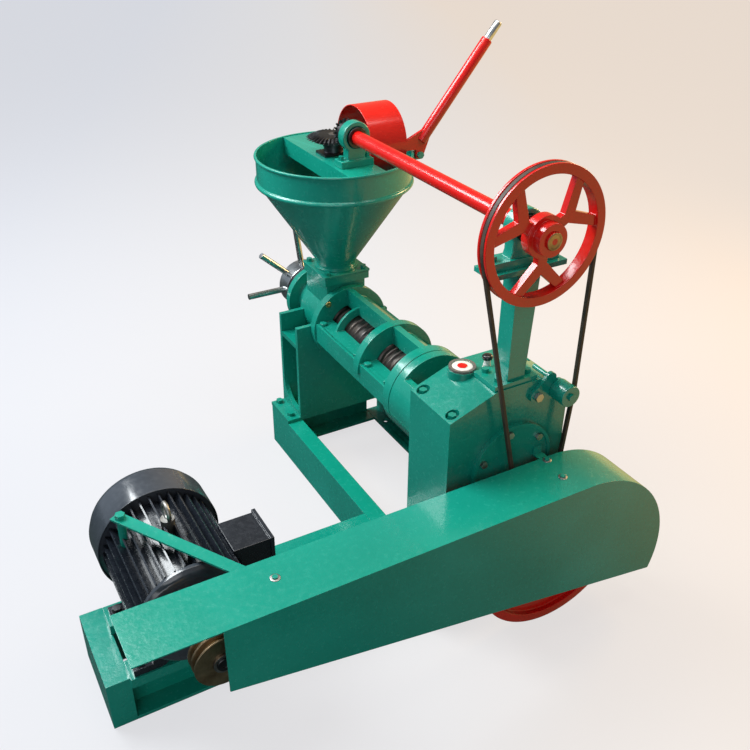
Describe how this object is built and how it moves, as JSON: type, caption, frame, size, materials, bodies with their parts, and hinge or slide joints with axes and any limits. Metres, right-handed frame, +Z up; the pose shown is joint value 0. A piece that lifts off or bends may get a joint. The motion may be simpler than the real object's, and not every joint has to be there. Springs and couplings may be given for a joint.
{
  "type": "screw oil press",
  "caption": "Screw oil press on a skid with gear reducer, belt drive, guarded electric motor, powered hopper feeder and handwheel adjuster.",
  "frame": {"origin": "centre of the four anchor holes, on the floor under the skid", "axes": "+X along the belt guard from motor to large pulley, +Y from gearbox to hopper along the press, +Z up"},
  "size_m": [1.2541, 1.1336, 1.1198],
  "materials": {
    "green": "gloss enamel",
    "green_sheet": "gloss enamel",
    "red": "gloss enamel",
    "lever_paint": "gloss enamel",
    "bolt_steel": "zinc plated",
    "ring_steel": "oiled, bright edges",
    "worn_steel": "turned",
    "bevel_iron": "machined teeth",
    "bright_steel": "turned, bright",
    "dark_steel": "blackened",
    "bearing_black": "dark",
    "brass": "satin",
    "glass": "clear over white",
    "belt_rubber": "worn rubber",
    "pulley_iron": "machined, stained",
    "motor_paint": "satin enamel",
    "cowl_paint": "gloss enamel",
    "fan_plastic": "moulded"
  },
  "bodies": {
    "frame": {"skid_left_rail": "green_sheet", "skid_right_rail": "green_sheet", "skid_cross_members": "green_sheet", "motor_base_end": "green_sheet", "motor_base_rails": "green_sheet", "motor_pads": "green_sheet", "rear_stand": "green", "feed_block": "green", "press_body_upper": "green", "press_body_lower": "green", "body_bolts": "green", "machine_bolts": "bolt_steel", "feed_rings": "ring_steel", "main_rings": "ring_steel", "fine_rings": "ring_steel", "cake_housing": "green", "gearbox_case": "green", "gearbox_cover": "green", "bearing_cover": "green", "shaft_bearings": "bearing_black", "sight_glass": "glass", "breather": "brass", "feed_belt": "belt_rubber", "hopper": "green_sheet", "hopper_beam": "green_sheet", "pillow_blocks": "green", "column": "green_sheet", "belt_guard": "green_sheet", "guard_brace": "green_sheet", "hinge_lug": "green", "adjuster_sleeve": "green", "motor_frame": "motor_paint", "fan_cover": "cowl_paint", "terminal_box": "motor_paint", "eyebolt": "bolt_steel"},
    "drive_input": {"input_shaft": "worn_steel", "big_pulley": "red", "small_pulley": "red"},
    "drive_lay": {"lay_shaft": "worn_steel", "lay_gear": "worn_steel"},
    "main_screw": {"press_screw": "worn_steel", "output_gear": "worn_steel"},
    "rotor": {"motor_rotor": "worn_steel", "motor_pulley": "pulley_iron", "cooling_fan": "fan_plastic"},
    "feed_drive": {"feed_shaft": "red", "feed_pulley": "red", "bevel_pinion": "bevel_iron"},
    "feed_auger": {"auger": "worn_steel", "bevel_gear": "bevel_iron"},
    "tensioner": {"tension_arm": "green"},
    "roller": {"tension_roller": "green"},
    "guard_lever": {"gear_guard": "red", "lever": "lever_paint", "lever_tip": "bright_steel"},
    "handwheel": {"handwheel_hub": "bright_steel", "handwheel_rods": "bright_steel"},
    "thrust": {"thrust_sleeve": "bright_steel"},
    "locknut": {"lock_ring": "dark_steel"}
  },
  "joints": [
    {"name": "input_spin", "type": "hinge", "parent": "frame", "child": "drive_input", "pos_m": [0.072, -0.4, 0.2], "axis": [0, 1, 0], "continuous": true},
    {"name": "lay_spin", "type": "hinge", "parent": "frame", "child": "drive_lay", "pos_m": [-0.01425, -0.33, 0.24215], "axis": [0, 1, 0], "continuous": true},
    {"name": "screw_spin", "type": "hinge", "parent": "frame", "child": "main_screw", "pos_m": [0.01, 0, 0.378], "axis": [0, 1, 0], "continuous": true},
    {"name": "motor_spin", "type": "hinge", "parent": "frame", "child": "rotor", "pos_m": [-0.643, -0.3, 0.268], "axis": [0, 1, 0], "continuous": true},
    {"name": "feed_spin", "type": "hinge", "parent": "frame", "child": "feed_drive", "pos_m": [0.01, -0.1, 0.869], "axis": [0, 1, 0], "continuous": true},
    {"name": "auger_spin", "type": "hinge", "parent": "frame", "child": "feed_auger", "pos_m": [0.01, 0.3485, 0.7], "axis": [0, 0, 1], "continuous": true},
    {"name": "tensioner_swing", "type": "hinge", "parent": "frame", "child": "tensioner", "pos_m": [0.056, -0.407, 0.524], "axis": [0, 1, 0], "range_deg": [-15, 0]},
    {"name": "roller_spin", "type": "hinge", "parent": "tensioner", "child": "roller", "pos_m": [0.1055, -0.428, 0.528], "axis": [0, 1, 0], "continuous": true},
    {"name": "guard_lift", "type": "hinge", "parent": "frame", "child": "guard_lever", "pos_m": [0.19429, 0.262, 0.797], "axis": [0, 1, 0], "range_deg": [0, 55]},
    {"name": "handwheel_turn", "type": "hinge", "parent": "frame", "child": "handwheel", "pos_m": [0.01, 0.545, 0.378], "axis": [0, 1, 0], "range_deg": [-360, 360]},
    {"name": "thrust_travel", "type": "slide", "parent": "frame", "child": "thrust", "axis": [0, 1, 0], "range_m": [-0.0041, 0.0041]},
    {"name": "locknut_turn", "type": "hinge", "parent": "frame", "child": "locknut", "pos_m": [0.01, 0.5, 0.378], "axis": [0, 1, 0], "range_deg": [-180, 180]}
  ],
  "couplings": [
    {"joint": "lay_spin", "follows": "input_spin", "ratio": -0.33333},
    {"joint": "screw_spin", "follows": "input_spin", "ratio": 0.10897},
    {"joint": "motor_spin", "follows": "input_spin", "ratio": 3.8511},
    {"joint": "feed_spin", "follows": "input_spin", "ratio": 0.26829},
    {"joint": "auger_spin", "follows": "input_spin", "ratio": -0.12626},
    {"joint": "thrust_travel", "follows": "handwheel_turn", "m_per_rad": 0.00063662}
  ]
}
